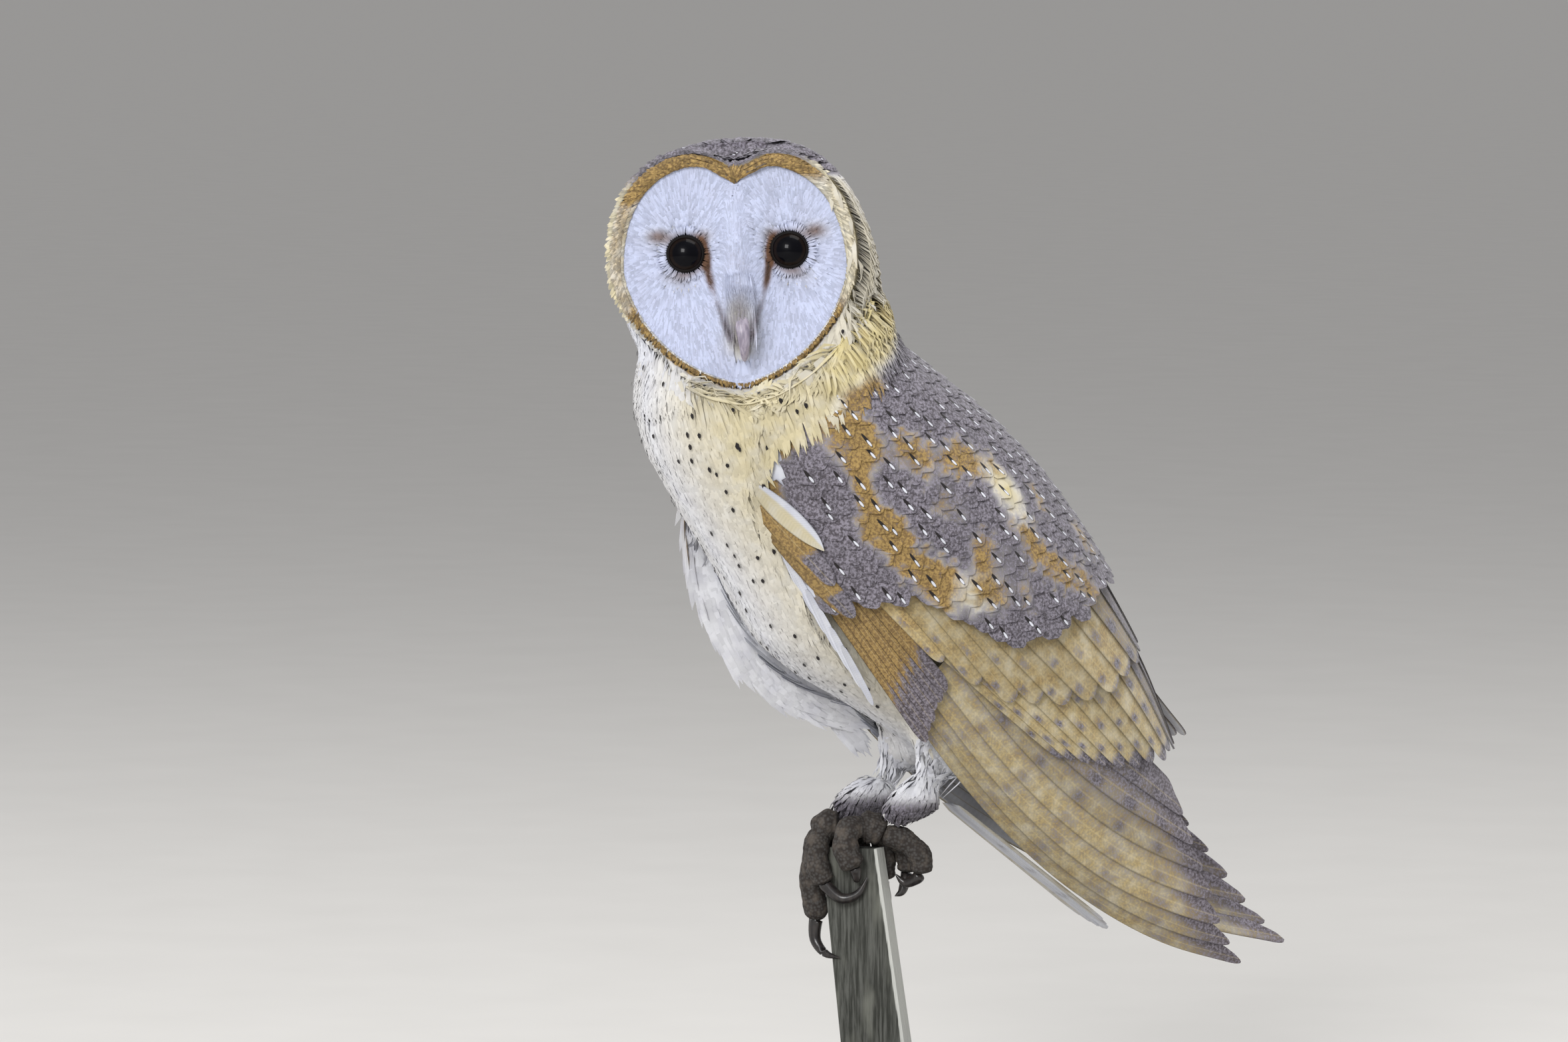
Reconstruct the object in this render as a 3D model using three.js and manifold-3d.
// A barn owl (Tyto alba) at life size, gripping the cut end of a bamboo stake on a display stand.
// Millimetres, +Z up. The owl's body faces -Y and its left side is +X, and it looks to its left.
// The origin is the centre of the stand's underside.
import * as THREE from "three";
import { mergeVertices } from "three/addons/utils/BufferGeometryUtils.js";
import Module from "manifold-3d";

const wasm = await Module();
wasm.setup();

// ---- Driving dimensions -------------------------------------------------------------------

const GAP = 0.3; // between solids that touch
const SMALLEST_DETAIL = 0.1; // slivers that cuts leave are closed up to this size
const DEGREE = Math.PI / 180;
const LEFT = 1;
const RIGHT = -1;

// Stand and stake. The owl is measured from GRIP, the spot over the stake's end that it holds.
const GRIP = [-5, -9, 122];
const BASE = { radius: 92, height: 12, bevel: 2 };
const ROD_RADIUS = 5;
const STAKE = {
  top: [-3, -6, -3],
  foot: [1.6, 3.2, -88],
  topWidth: 21.6,
  footWidth: 25.5,
  thick: 8,
  bulge: 1.2, // of the bark side
  turn: 42, // degrees from the owl's front to the way the bark faces
};

// The body's axis is an arc that starts between the shoulders and ends at the wing tips.
const AXIS = { start: [-24, 152], tilt: 55, turn: 16 / 270 }; // [y, z], degrees, degrees per mm

// Girth of the folded wings round that axis: station, side, back and belly half-widths.
const WING_GIRTH = [
  [-40, 42, 32, 42],
  [-10, 50, 43, 49],
  [30, 55, 56, 55],
  [67, 56, 62, 58],
  [110, 52, 61, 57],
  [156, 43, 53, 52],
  [203, 32, 37, 43],
  [240, 26, 29, 36],
  [270, 22, 24, 27],
  [310, 18, 18, 18],
];

// Girth of the trunk and neck, in the same columns.
const BODY_GIRTH = [
  [-78, 36, 42, 34],
  [-60, 41, 48, 46],
  [-40, 46, 46, 58],
  [-15, 49, 43, 60],
  [20, 51, 54, 61],
  [55, 48, 58, 64],
  [90, 40, 47, 51],
  [120, 30, 35, 41],
  [150, 19, 22, 31],
  [180, 10, 12, 16],
];
const NECK_STATION = -36; // where the neck is parted from the trunk

const HEAD = {
  centre: [3.7, -57, 211.8],
  turn: 62, // degrees to the owl's left of where its body faces
  lift: 4,
  roll: 2.3,
  halfWidth: 46,
  top: 48.5,
  bottom: 45,
  front: 22,
  back: 45,
  fullness: 2.5,
  aside: 1.8, // the skull's middle lies this far to the left of the face's
  cut: 4, // where the face is let into the front of the head
};

// The heart-shaped face, in the head's own axes.
const DISC = {
  halfWidth: 41.8,
  top: 41.5,
  bottom: 43,
  topFullness: 2.5,
  bottomFullness: 1.65,
  notch: 0.16,
  notchWidth: 0.24,
  rimForward: 19,
  sideSweep: 3,
  dish: 5.5,
  ridge: 9,
  ridgeWidth: 8.5,
};
const FACE_SIDES = 24; // facets round the face and the ruff
const RUFF = { width: 3.2, forward: 2 };

const EYE = { radius: 9, apart: 37.6, above: 5.2, forward: 8.6 };

// Each bill half: points [up, forward] of its middle line and its radius at the root.
const BILL_UPPER = { line: [[-13, 20], [-24, 31], [-35.5, 26]], radius: 3.8 };
const BILL_LOWER = { line: [[-17, 18], [-27, 24], [-31.5, 23]], radius: 2.6 };

// The folded wing's edges in (s, q): s along the body's axis, q round it from flank to spine.
const LEADING_EDGE = [
  [-30, -18],
  [-20, -30],
  [-4, -46],
  [16, -56],
  [46, -60],
  [75, -62],
  [105, -62],
  [180, -56],
];
const SPINE_REACH = 78; // degrees round from the flank
const SHIELD = { from: -22, thick: 2.4, rows: 8, columns: 7 };
const THIN_END = 0.9; // what the shield loses in thickness towards its end
const POCKET_ROOM = 0.9; // under the wing, so that flat facets never touch
const EDGE_ROOM = 2.5; // in front of the wing, for the same reason

// Where the small coverts end, as s for a q.
const SHIELD_END = [
  [-64, 40],
  [-47, 43],
  [-20, 60],
  [-6, 88],
  [17, 103],
  [45, 112],
  [80, 116],
];

// Rows of long feathers: [s, q] of their roots and tips from the wing's front to its spine side.
const FEATHER_ROWS = {
  primary_coverts: {
    count: 4,
    roots: [[32, -59], [34, -45]],
    tips: [[107, -60], [95, -43]],
    low: -4.8,
    rows: 3,
  },
  greater_coverts: {
    count: 8,
    roots: [[36, -41], [50, -24], [76, -8], [92, 17], [102, 45], [104, 78]],
    tips: [[77, -34], [108, -19], [129, 0], [143, 22], [150, 46], [152, 66]],
    low: -4.5,
    rows: 2,
  },
  secondaries: {
    count: 10,
    roots: [[58, -37], [84, -20], [108, 0], [124, 20], [132, 46], [134, 70]],
    tips: [[142, -15], [156, -6], [171, 6], [184, 22], [191, 38], [192, 51]],
    low: -6.3,
    rows: 3,
  },
  primaries: {
    count: 7,
    roots: [[90, -61], [102, -44], [118, -24], [136, -4]],
    tips: [[273, -15], [250, -6], [226, 6], [200, 20]],
    bow: -15,
    low: -8.1,
    rows: 4,
  },
};
const BLADE = { thick: 0.9, step: 0.5, rounding: 5 };
const ALULA = { root: [-3, -43], tip: [53, -48], width: 13, thick: 1, clearance: 0.7 };

// The right wing hangs off the body at the wrist, and its tip crosses over the left one.
const WRIST_DROOP = { at: 46, reach: 50, lift: 16, turn: 0.15 };
const CROSSING = { from: 125, to: 275, rise: 22, along: 20, across: 8 };

const TAIL = {
  root: [-3, 36, 11.5],
  tip: [-7.2, 105, -39.5],
  taper: 0.12, // how much shorter the outermost feather is
  feathers: 5,
  featherWidth: 11,
  spread: [4.5, 7.5], // half the fan's spread at root and tip
  thick: 1.4,
  camber: 0.012,
};

// Limbs as stations [x, y, z, radius]; toes and claws as [across, out, height, radius] on the stake.
const THIGH = [[16, 30, 52, 17], [16, 24, 34, 15], [14, 19, 21, 10.5]];
const TARSUS = {
  left: [[14, 19, 21, 9.5], [11, 11, 14, 7.5], [5.5, 2, 9.5, 5.6]],
  right: [[-14, 18, 18, 9.5], [-13.5, 2, 12.5, 7.4], [-10, -8.5, 9.5, 5.6]],
};
const FOOT = {
  left: {
    sole: [[4, 1, 5, 5], [8, 0, 4.5, 6], [12.5, -1, 2, 5]],
    toes: [
      [[6, 2, 5, 4.6], [2, 7.5, 4, 4.6], [1, 10, -3, 4.8], [3.5, 9.5, -10, 5]],
      [[12, -1, 2, 4.4], [19, -3, 0, 4.4], [24.5, -4, -6, 4.4], [24, -4, -12.5, 4.4]],
      [[8, -3, 3, 4.4], [9, -9, -2, 4.2], [8, -10, -10, 4.2], [7.5, -9.5, -16, 4.2]],
      [[12, -3, 2, 4.2], [15.5, -9, -2, 4], [17, -10.5, -8, 4], [16.5, -10, -13, 4]],
    ],
    claws: [
      [[3.4, 9, -12.6, 1.9], [3, 7.8, -14.6, 1.3], [2.6, 6.6, -15.2, 0.6]],
      [[21, -4, -15.5, 2.1], [17, -3.5, -15.8, 1.5], [14.4, -2.5, -12.6, 0.6]],
      [[7, -9, -18.5, 2], [8, -8.4, -23, 1.7], [10, -5.6, -25, 0.6]],
      [[16, -9.5, -16, 2], [14.5, -8, -20, 1.6], [12, -6, -21.5, 0.6]],
    ],
  },
  right: {
    sole: [[-12, 0, 1, 4.6], [-8.5, 1, 4.5, 6], [-4, 0, 5, 5]],
    toes: [
      [[-10, 2, 3, 4.5], [-11.5, 7, -4, 4.3], [-11, 8.5, -11, 4.3], [-9.5, 8, -16, 4.4]],
      [[-8.6, 0.6, 4.2, 4.8], [-14.5, -1, -3, 4.6], [-17.5, 0, -17, 4.7], [-17, 0, -31, 5]],
      [[-8, -2.6, 3.4, 4.5], [-9.4, -9, -2, 4.2], [-8.4, -10, -10, 4.2], [-7.4, -9.5, -16, 4.2]],
      [[-4, -2, 4, 4.2], [-2, -8, 1, 4], [-1, -10, -5, 4], [-1, -9.5, -10, 4]],
    ],
    claws: [
      [[-8.6, 8, -18.5, 2.3], [-4, 7.6, -21, 2], [2.4, 7, -19.4, 1.5], [7, 6.4, -13, 0.6]],
      [[-18.5, 0, -33, 2.4], [-18.5, 1, -38.5, 2], [-14.5, 3, -42.5, 1.5], [-8, 5.6, -44, 0.6]],
      [[-6.4, -9, -18.5, 2], [-3, -8.6, -23, 1.7], [1, -5.8, -25, 0.6]],
      [[-0.6, -9, -12, 2], [0.5, -8, -17, 1.6], [2.4, -6, -19.5, 0.6]],
    ],
  },
};

// ---- Curves and mapping helpers -----------------------------------------------------------

/** A smooth function through a table's column, with Catmull-Rom slopes. */
function column(table, index) {
  const slope = (i) => {
    const [a, b] = [table[Math.max(0, i - 1)], table[Math.min(table.length - 1, i + 1)]];
    return (b[index] - a[index]) / (b[0] - a[0]);
  };
  return (value) => {
    const x = THREE.MathUtils.clamp(value, table[0][0], table.at(-1)[0]);
    let i = 0;
    while (i < table.length - 2 && table[i + 1][0] <= x) i++;
    const span = table[i + 1][0] - table[i][0];
    const t = (x - table[i][0]) / span;
    const [t2, t3] = [t * t, t * t * t];
    return (
      (2 * t3 - 3 * t2 + 1) * table[i][index] +
      (t3 - 2 * t2 + t) * span * slope(i) +
      (3 * t2 - 2 * t3) * table[i + 1][index] +
      (t3 - t2) * span * slope(i + 1)
    );
  };
}

function girth(table) {
  return { side: column(table, 1), back: column(table, 2), belly: column(table, 3) };
}

const wingGirth = girth(WING_GIRTH);
const bodyGirth = girth(BODY_GIRTH);
const leadingEdge = column(LEADING_EDGE, 1);
const shieldEnd = column(SHIELD_END, 1);
const meanGirth = (s) => (wingGirth.side(s) + wingGirth.back(s)) / 2;
const spineEdge = (s) => meanGirth(s) * SPINE_REACH * DEGREE;
const ramp = (x, from, to) => THREE.MathUtils.smoothstep(x, from, to);

/** The point of the body's axis at distance s, the way the back faces there, and the way along. */
function axisAt(s) {
  const start = AXIS.tilt * DEGREE;
  const turn = AXIS.turn * DEGREE;
  const tilt = start - turn * s;
  const y = AXIS.start[0] + (Math.sin(start) - Math.sin(tilt)) / turn;
  const z = AXIS.start[1] - (Math.cos(tilt) - Math.cos(start)) / turn;
  return {
    point: new THREE.Vector3(0, y, z),
    dorsal: new THREE.Vector3(0, Math.sin(tilt), Math.cos(tilt)),
    along: new THREE.Vector3(0, Math.cos(tilt), -Math.sin(tilt)),
  };
}

/** A point round the axis: the angle runs from the side towards the back. */
function roundAxis(shape, s, angle, scale, lift, side) {
  const { point, dorsal } = axisAt(s);
  const across = (shape.side(s) * scale + lift) * Math.cos(angle);
  const half = angle > 0 ? shape.back(s) : shape.belly(s);
  point.addScaledVector(dorsal, (half * scale + lift) * Math.sin(angle));
  point.x += side * across;
  return point;
}

/** A point of a folded wing, at height h over its outer surface. */
function onWing(s, q, h, side) {
  const angle = q / meanGirth(s);
  if (side === LEFT) return roundAxis(wingGirth, s, angle, 1, h, side);
  const near = Math.max(0, 1 - ((s - WRIST_DROOP.at) / WRIST_DROOP.reach) ** 2);
  const droop = near * ramp(-angle, 0, 1.2);
  const cross = ramp(s, CROSSING.from, CROSSING.to);
  const { dorsal, along } = axisAt(s);
  const lift = h + WRIST_DROOP.lift * droop;
  const p = roundAxis(wingGirth, s, angle - WRIST_DROOP.turn * droop, 1, lift, side);
  p.addScaledVector(dorsal, CROSSING.rise * cross);
  p.addScaledVector(along, CROSSING.along * cross);
  p.x += CROSSING.across * cross;
  return p;
}

/** A copy of a closed geometry with each vertex moved to where place(x, y, z) puts it. */
function reshape(geometry, place) {
  const moved = geometry.clone();
  const spots = moved.getAttribute("position");
  for (let i = 0; i < spots.count; i++) {
    const p = place(spots.getX(i), spots.getY(i), spots.getZ(i));
    spots.setXYZ(i, p.x, p.y, p.z);
  }
  return moved;
}

/** A closed geometry as a manifold-3d solid, turned so that its faces point out. */
function solid(geometry) {
  const bare = geometry.clone();
  bare.deleteAttribute("normal");
  bare.deleteAttribute("uv");
  const merged = mergeVertices(bare, 1e-4);
  const corners = merged.index.array;
  const kept = [];
  for (let i = 0; i < corners.length; i += 3) {
    const [a, b, c] = [corners[i], corners[i + 1], corners[i + 2]];
    if (a !== b && b !== c && a !== c) kept.push(a, b, c);
  }
  const vertProperties = new Float32Array(merged.attributes.position.array);
  const build = (order) => {
    const triVerts = new Uint32Array(order);
    return new wasm.Manifold(new wasm.Mesh({ numProp: 3, vertProperties, triVerts }));
  };
  const made = build(kept);
  return made.volume() > 0 ? made : build(kept.reverse());
}

/** The largest body of a solid as a BufferGeometry. */
function geometryOf(made) {
  const main = made.decompose().reduce((a, b) => (b.volume() > a.volume() ? b : a));
  const mesh = main.simplify(SMALLEST_DETAIL).getMesh();
  const spots = new Float32Array(mesh.numVert * 3);
  for (let i = 0; i < mesh.numVert; i++) {
    spots.set(mesh.vertProperties.subarray(i * mesh.numProp, i * mesh.numProp + 3), i * 3);
  }
  const geometry = new THREE.BufferGeometry();
  geometry.setAttribute("position", new THREE.BufferAttribute(spots, 3));
  geometry.setIndex(new THREE.BufferAttribute(new Uint32Array(mesh.triVerts), 1));
  return geometry;
}

const union = (solids) => solids.reduce((a, b) => a.add(b));

/** A round limb through stations [x, y, z, radius], with rounded ends. */
function limb(stations, rings, sides, grow = 0) {
  const path = new THREE.CatmullRomCurve3(stations.map(([x, y, z]) => new THREE.Vector3(x, y, z)));
  const radius = column(stations.map((station, i) => [i / (stations.length - 1), station[3]]), 1);
  const ball = new THREE.SphereGeometry(1, sides, rings);
  const bend = new THREE.Vector3(0.31, 0.17, 0.94);
  return solid(
    reshape(ball, (x, y, z) => {
      const t = Math.acos(THREE.MathUtils.clamp(y, -1, 1)) / Math.PI;
      const tangent = path.getTangent(t);
      const across = bend.clone().cross(tangent).normalize();
      const over = tangent.clone().cross(across);
      const fullness = Math.pow(Math.max(0, 1 - Math.abs(2 * t - 1) ** 6), 0.5);
      const round = Math.hypot(x, z);
      const ring = round < 1e-9 ? 0 : (radius(t) * fullness + grow) / round;
      const reach = grow * Math.sign(2 * t - 1) * (round < 1e-9 ? 1 : 0);
      return path
        .getPoint(t)
        .addScaledVector(across, ring * x)
        .addScaledVector(over, ring * z)
        .addScaledVector(tangent, reach);
    }),
  );
}

// ---- Body ---------------------------------------------------------------------------------

const BODY_ENDS = [BODY_GIRTH[0][0], BODY_GIRTH.at(-1)[0]];

function bodySolid(grow) {
  const [first, last] = BODY_ENDS;
  const ball = new THREE.SphereGeometry(1, 20, 16);
  return solid(
    reshape(ball, (x, y, z) => {
      const t = Math.acos(THREE.MathUtils.clamp(y, -1, 1)) / Math.PI;
      const fullness = Math.pow(Math.max(0, 1 - Math.abs(2 * t - 1) ** 12), 0.5);
      const pole = Math.hypot(x, z) < 1e-9;
      const s = THREE.MathUtils.lerp(first, last, t);
      return roundAxis(bodyGirth, s, Math.atan2(z, x), pole ? 0 : fullness, pole ? 0 : grow, 1);
    }),
  );
}

/** A block that holds everything beyond station s, towards the head or towards the tail. */
function blockBeyond(s, toHead) {
  const { point, dorsal, along } = axisAt(s);
  const size = 300;
  const block = new THREE.BoxGeometry(size, size, size);
  const middle = point.clone().addScaledVector(along, ((toHead ? -1 : 1) * size) / 2);
  const frame = new THREE.Matrix4()
    .makeBasis(new THREE.Vector3(1, 0, 0), along, dorsal.clone())
    .setPosition(middle);
  return solid(block.applyMatrix4(frame));
}

// ---- Head, facial disc and ruff -----------------------------------------------------------

/** From the head's own axes (x to its left, y up, z out of the face) to the owl's. */
const headFrame = new THREE.Matrix4()
  .makeRotationZ(HEAD.turn * DEGREE)
  .multiply(new THREE.Matrix4().makeRotationX(-HEAD.lift * DEGREE))
  .multiply(new THREE.Matrix4().makeRotationX(90 * DEGREE))
  .multiply(new THREE.Matrix4().makeRotationZ(HEAD.roll * DEGREE))
  .setPosition(...HEAD.centre);

const onHead = (x, y, z) => new THREE.Vector3(x, y, z).applyMatrix4(headFrame);

function headSolid(grow) {
  const ball = new THREE.SphereGeometry(1, 22, 14);
  const n = HEAD.fullness;
  return solid(
    reshape(ball, (x, y, z) => {
      const scale = Math.pow(Math.abs(x) ** n + Math.abs(y) ** n + Math.abs(z) ** n, -1 / n);
      const height = (y > 0 ? HEAD.top : HEAD.bottom) + grow;
      const depth = (z > 0 ? HEAD.front : HEAD.back) + grow;
      const across = HEAD.aside + x * scale * (HEAD.halfWidth + grow);
      return onHead(across, y * scale * height, z * scale * depth);
    }),
  );
}

/** Distance from the disc's centre to its edge, for an angle measured from straight up. */
function discEdge(angle) {
  const [x, y] = [Math.abs(Math.sin(angle)), Math.cos(angle)];
  const n = y > 0 ? DISC.topFullness : DISC.bottomFullness;
  const half = y > 0 ? DISC.top : DISC.bottom;
  const edge = Math.pow((x / DISC.halfWidth) ** n + (Math.abs(y) / half) ** n, -1 / n);
  return edge * (1 - DISC.notch * Math.exp(-((Math.atan2(x, y) / DISC.notchWidth) ** 2)));
}

const rimDepth = (angle) => DISC.rimForward - DISC.sideSweep * Math.sin(angle) ** 2;

/** How far the face stands forward of the head's centre. */
function faceDepth(x, y) {
  const angle = Math.atan2(x, y);
  const share = Math.min(1, Math.hypot(x, y) / discEdge(angle));
  const bowl = rimDepth(angle) * share ** 2.5 + (DISC.rimForward - DISC.dish) * (1 - share ** 2.5);
  const run = ramp(38 - y, 0, 30) * ramp(y, -42, -20);
  return bowl + DISC.ridge * Math.exp(-((x / DISC.ridgeWidth) ** 2)) * run;
}

/** The face as a plug whose flat back rests in the front of the head. */
function faceSolid() {
  const ball = new THREE.SphereGeometry(1, FACE_SIDES, 9);
  return solid(
    reshape(ball, (x, y, z) => {
      const angle = Math.atan2(x, z);
      const out = discEdge(angle) * Math.hypot(x, z);
      const [across, up] = [Math.sin(angle) * out, Math.cos(angle) * out];
      const front = faceDepth(across, up);
      const back = HEAD.cut + GAP;
      const depth = y > 1e-6 ? front : y < -1e-6 ? back : (front + back) / 2;
      return onHead(across, up, depth);
    }),
  );
}

/** The ruff: a band of stiff feathers round the disc. */
function ruffSolid() {
  const ring = new THREE.TorusGeometry(2, 1, 6, FACE_SIDES);
  const flat = Math.sin(Math.PI / 3); // the six-sided section's own half height
  return solid(
    reshape(ring, (x, y, z) => {
      const angle = Math.atan2(x, y);
      const out = discEdge(angle) + GAP + (RUFF.width / 2) * (Math.hypot(x, y) - 1);
      const back = HEAD.cut + GAP;
      const front = rimDepth(angle) + RUFF.forward;
      const depth = THREE.MathUtils.lerp(back, front, (z / flat + 1) / 2);
      return onHead(Math.sin(angle) * out, Math.cos(angle) * out, depth);
    }),
  );
}

/** The room in front of the head that the face and its ruff take up. */
function faceRoom() {
  const drum = new THREE.CylinderGeometry(1, 1, 1, FACE_SIDES);
  return solid(
    reshape(drum, (x, y, z) => {
      const angle = Math.atan2(x, z);
      const out = (discEdge(angle) + RUFF.width + 3 * GAP) * Math.hypot(x, z);
      const depth = HEAD.cut - GAP + (y > 0 ? 60 : 0);
      return onHead(Math.sin(angle) * out, Math.cos(angle) * out, depth);
    }),
  );
}

/** A block in front of the head's cut face. */
function faceBlock() {
  const size = 200;
  const block = new THREE.BoxGeometry(size, size, size);
  block.translate(0, 0, size / 2 + HEAD.cut);
  return solid(block.applyMatrix4(headFrame));
}

// ---- Eyes and bill ------------------------------------------------------------------------

function eyeSolid(side, grow) {
  const ball = new THREE.SphereGeometry(EYE.radius + grow, 12, 8);
  ball.translate((side * EYE.apart) / 2, EYE.above, EYE.forward);
  return solid(ball.applyMatrix4(headFrame));
}

function billSolid({ line, radius }, grow) {
  const path = new THREE.QuadraticBezierCurve3(
    ...line.map(([up, forward]) => new THREE.Vector3(0, up, forward)),
  );
  const ball = new THREE.SphereGeometry(1, 10, 8);
  return solid(
    reshape(ball, (x, y, z) => {
      const t = Math.acos(THREE.MathUtils.clamp(y, -1, 1)) / Math.PI;
      const round = Math.hypot(x, z);
      const taper = radius * Math.sqrt(Math.min(1, 5 * t)) * Math.pow(1 - t, 0.6);
      const ring = round < 1e-9 ? 0 : (taper + grow) / round;
      const p = path.getPoint(t);
      return onHead(p.x + ring * x, p.y, p.z + ring * z * 1.3);
    }),
  );
}

// ---- Folded wings -------------------------------------------------------------------------

/** A patch of the wing: edges q(s) and an end s(q), between two heights low(s, q) and high. */
function patch({ from, end, lower, upper, low, high, side, rows, columns }) {
  const block = new THREE.BoxGeometry(1, 1, 1, rows, columns, 1);
  return solid(
    reshape(block, (x, y, z) => {
      const [t, v] = [x + 0.5, y + 0.5];
      const middle = THREE.MathUtils.lerp(from, 100, t);
      const guess = THREE.MathUtils.lerp(lower(middle), upper(middle), v);
      const s = THREE.MathUtils.lerp(from, end(guess), t);
      const q = THREE.MathUtils.lerp(lower(s), upper(s), v);
      return onWing(s, q, z > 0 ? high : low(s, q), side);
    }),
  );
}

function shieldSolid(side) {
  return patch({
    ...SHIELD,
    end: shieldEnd,
    lower: leadingEdge,
    upper: spineEdge,
    low: (s, q) => THIN_END * ramp(s - shieldEnd(q), -34, -12) - SHIELD.thick,
    high: 0,
    side,
  });
}

/** The hollow in the body that a folded wing lies in. */
function pocketSolid(side) {
  const deepest = FEATHER_ROWS.primaries.low - POCKET_ROOM;
  return patch({
    from: SHIELD.from - POCKET_ROOM,
    end: () => 186,
    lower: (s) => leadingEdge(s) - EDGE_ROOM,
    upper: (s) => spineEdge(s) + POCKET_ROOM,
    low: (s, q) => {
      const buried = ramp(s - shieldEnd(q), -40, -14);
      return THREE.MathUtils.lerp(-SHIELD.thick - POCKET_ROOM, deepest, buried);
    },
    high: 14,
    side,
    rows: 9,
    columns: 5,
  });
}

// Across one feather: tucked under its neighbour, free edge, shaft.
const VANE = { share: [0, 0.12, 0.55], lift: [0, 1, 0.6], cut: [1, 0.55, 0] };

/** A row of long feathers as one plate, stepped like shingles, with rounded tips. */
function featherRow({ count, roots, tips, low, rows, bow = 0 }, side) {
  const line = (points) => new THREE.SplineCurve(points.map((p) => new THREE.Vector2(...p)));
  const [rootLine, tipLine] = [line(roots), line(tips)];
  const block = new THREE.BoxGeometry(1, 1, 1, rows, 3 * count, 1);
  return solid(
    reshape(block, (x, y, z) => {
      const step = Math.round((y + 0.5) * 3 * count);
      const part = step % 3;
      const share = (Math.floor(step / 3) + VANE.share[part]) / count;
      const [root, tip] = [rootLine.getPoint(share), tipLine.getPoint(share)];
      const t = (x + 0.5) * (1 - (BLADE.rounding * VANE.cut[part]) / root.distanceTo(tip));
      const p = root.lerp(tip, t);
      const q = p.y + bow * (1 - share) * Math.sin(Math.PI * t);
      const h = low + BLADE.step * VANE.lift[part] + (z > 0 ? BLADE.thick : 0);
      return onWing(p.x, q, h, side);
    }),
  );
}

/** The small feather of the thumb, lying on the wing's front edge. */
function alulaSolid(side) {
  const block = new THREE.BoxGeometry(1, 1, 1, 5, 2, 1);
  return solid(
    reshape(block, (x, y, z) => {
      const t = x + 0.5;
      const width = ALULA.width * Math.sin(Math.PI * (0.12 + 0.8 * t)) ** 0.7;
      const s = THREE.MathUtils.lerp(ALULA.root[0], ALULA.tip[0], t);
      const q = THREE.MathUtils.lerp(ALULA.root[1], ALULA.tip[1], t) + y * width;
      return onWing(s, q, ALULA.clearance + (z > 0 ? ALULA.thick : 0), side);
    }),
  );
}

// ---- Tail ---------------------------------------------------------------------------------

function tailSolid(grow) {
  const root = new THREE.Vector3(...TAIL.root);
  const along = new THREE.Vector3(...TAIL.tip).sub(root);
  const length = along.length();
  along.normalize();
  const over = new THREE.Vector3(-1, 0, 0).cross(along);
  const count = TAIL.feathers;
  const block = new THREE.BoxGeometry(1, 1, 1, 3, 3 * count, 1);
  return solid(
    reshape(block, (x, y, z) => {
      const step = Math.round((y + 0.5) * 3 * count);
      const part = step % 3;
      const share = 2 * ((Math.floor(step / 3) + VANE.share[part]) / count) - 1;
      const t = x + 0.5;
      const half = THREE.MathUtils.lerp(...TAIL.spread, t) + TAIL.featherWidth / 2 + grow;
      const reach = length * t * (1 - 0.04 * VANE.cut[part] - TAIL.taper * share * share);
      const drop = TAIL.camber * (share * half) ** 2;
      const lift = BLADE.step * VANE.lift[part] + (z > 0 ? TAIL.thick + grow : -grow);
      return root
        .clone()
        .addScaledVector(along, reach)
        .addScaledVector(over, lift - drop)
        .add(new THREE.Vector3(share * half, 0, 0));
    }),
  );
}

// ---- Stake, stand and feet ----------------------------------------------------------------

const stakeAcross = new THREE.Vector3(Math.cos(STAKE.turn * DEGREE), Math.sin(STAKE.turn * DEGREE), 0);
const stakeOut = new THREE.Vector3(stakeAcross.y, -stakeAcross.x, 0);

/** A point given by its distances across the stake and out of its bark, and its height. */
function onStake(across, out, height) {
  const [top, foot] = [new THREE.Vector3(...STAKE.top), new THREE.Vector3(...STAKE.foot)];
  const t = (top.z - height) / (top.z - foot.z);
  const p = top.lerp(foot, t);
  return p.addScaledVector(stakeAcross, across).addScaledVector(stakeOut, out);
}

function stakeSolid(grow) {
  const block = new THREE.BoxGeometry(1, 1, 1, 6, 1, 2);
  return solid(
    reshape(block, (x, y, z) => {
      const t = z + 0.5;
      const width = THREE.MathUtils.lerp(STAKE.footWidth, STAKE.topWidth, t) + 2 * grow;
      const height = THREE.MathUtils.lerp(STAKE.foot[2] - grow, STAKE.top[2] + grow, t);
      const face = STAKE.thick / 2 + grow;
      const out = y > 0 ? face + STAKE.bulge * (1 - 4 * x * x) : -face;
      return onStake(x * width, out, height);
    }),
  );
}

const onStakeStations = (stations) =>
  stations.map(([across, out, height, radius]) => [
    ...onStake(across, out, height).toArray(),
    radius,
  ]);

function footSolid({ sole, toes }, grow) {
  const parts = toes.map((toe) => limb(onStakeStations(toe), 6, 7, grow));
  return union([limb(onStakeStations(sole), 5, 8, grow), ...parts]);
}

const clawSolid = (claw) => limb(onStakeStations(claw), 5, 5);

/** The rod that holds the stake up, from the base's top to the stake's cut foot. */
function rodSolid() {
  const [bottom, top] = [BASE.height + GAP - GRIP[2], STAKE.foot[2] - GAP];
  const rod = new THREE.CylinderGeometry(ROD_RADIUS, ROD_RADIUS, top - bottom, 20);
  rod.rotateX(Math.PI / 2);
  return solid(rod.translate(STAKE.foot[0], STAKE.foot[1], (top + bottom) / 2));
}

function baseSolid() {
  const { radius, height, bevel } = BASE;
  const profile = [
    [0, 0],
    [radius, 0],
    [radius, height - bevel],
    [radius - bevel, height],
    [0, height],
  ];
  const disc = new THREE.LatheGeometry(profile.map((p) => new THREE.Vector2(...p)), 30);
  disc.rotateX(Math.PI / 2);
  return solid(disc.translate(-GRIP[0], -GRIP[1], -GRIP[2]));
}

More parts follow.
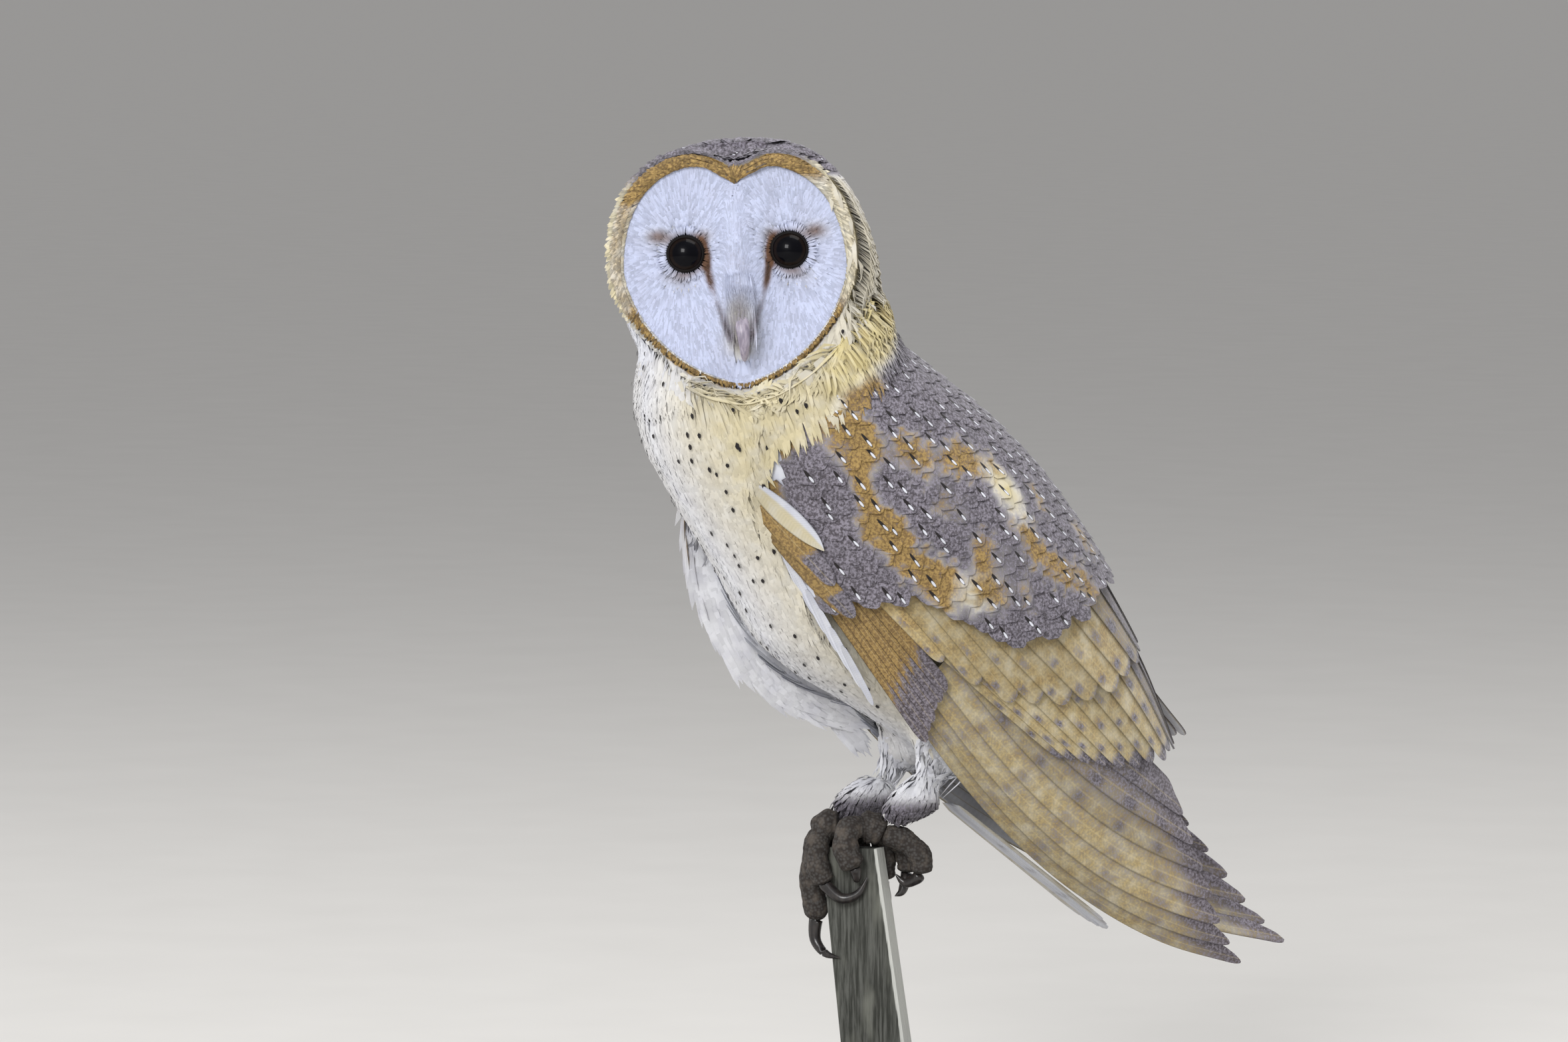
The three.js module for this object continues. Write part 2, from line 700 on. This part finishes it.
// ---- Assembly -----------------------------------------------------------------------------

const finish = (color, roughness) =>
  new THREE.MeshStandardMaterial({ color, roughness, metalness: 0 });

const WHITE = finish(0xd9dcec, 0.9);
const CREAM = finish(0xcfc7a4, 0.9);
const GREY = finish(0x7d7686, 0.9);
const GOLD = finish(0xb99350, 0.9);
const BUFF = finish(0xc2ad7c, 0.9);
const TOE = finish(0x6e665e, 0.75);
const HORN = finish(0x2a282c, 0.35);
const BILL = finish(0xb9adb2, 0.45);
const PUPIL = finish(0x08060a, 0.05);
const BAMBOO = finish(0x77776c, 0.6);
const STAND = finish(0x2f3032, 0.5);

const owl = new THREE.Group();
owl.position.set(...GRIP);

function addNode(name, made, material) {
  const mesh = new THREE.Mesh(geometryOf(made), material.clone());
  mesh.name = name;
  owl.add(mesh);
}

const eyeSockets = union([eyeSolid(LEFT, GAP), eyeSolid(RIGHT, GAP)]);
const billSocket = billSolid(BILL_UPPER, GAP);
const faceHoles = union([eyeSockets, billSocket, billSolid(BILL_LOWER, GAP)]);
const pockets = union([pocketSolid(LEFT), pocketSolid(RIGHT), tailSolid(GAP)]);
const hollows = union([headSolid(GAP), faceRoom(), pockets]);
const body = bodySolid(0).subtract(hollows);

addNode("head", headSolid(0).subtract(union([faceHoles, faceBlock()])), CREAM);
addNode("facial_disc", faceSolid().subtract(faceHoles), WHITE);
addNode("ruff", ruffSolid(), GOLD);
addNode("bill_upper", billSolid(BILL_UPPER, 0), BILL);
addNode("bill_lower", billSolid(BILL_LOWER, 0).subtract(billSocket), BILL);
addNode("eye_left", eyeSolid(LEFT, 0), PUPIL);
addNode("eye_right", eyeSolid(RIGHT, 0), PUPIL);
addNode("neck", body.subtract(blockBeyond(NECK_STATION - GAP / 2, false)), CREAM);
addNode("trunk", body.subtract(blockBeyond(NECK_STATION + GAP / 2, true)), CREAM);
addNode("tail", tailSolid(0), BUFF);

const beside = union([bodySolid(GAP), pockets]);
const stakeWithRoom = stakeSolid(GAP);

for (const [name, side] of [["left", LEFT], ["right", RIGHT]]) {
  addNode(`wing_${name}`, shieldSolid(side), GREY);
  addNode(`wing_${name}_alula`, alulaSolid(side), BUFF);
  for (const row of Object.keys(FEATHER_ROWS)) {
    addNode(`wing_${name}_${row}`, featherRow(FEATHER_ROWS[row], side), GOLD);
  }
  const thighStations = THIGH.map(([x, y, z, radius]) => [side * x, y, z, radius]);
  const thighWithRoom = limb(thighStations, 6, 9, GAP);
  const tarsusWithRoom = limb(TARSUS[name], 6, 8, GAP);
  const holds = union([stakeWithRoom, tarsusWithRoom]);
  const footWithRoom = union([footSolid(FOOT[name], GAP), stakeWithRoom]);
  addNode(`thigh_${name}`, limb(thighStations, 6, 9).subtract(beside), WHITE);
  addNode(`tarsus_${name}`, limb(TARSUS[name], 6, 8).subtract(thighWithRoom), WHITE);
  addNode(`foot_${name}`, footSolid(FOOT[name], 0).subtract(holds), TOE);
  FOOT[name].claws.forEach((claw, i) => {
    addNode(`claw_${name}_${i + 1}`, clawSolid(claw).subtract(footWithRoom), HORN);
  });
}

addNode("perch_stake", stakeSolid(0), BAMBOO);
addNode("stand_rod", rodSolid(), STAND);
addNode("stand_base", baseSolid(), STAND);

const part = new THREE.Group();
part.add(owl);
export default part;
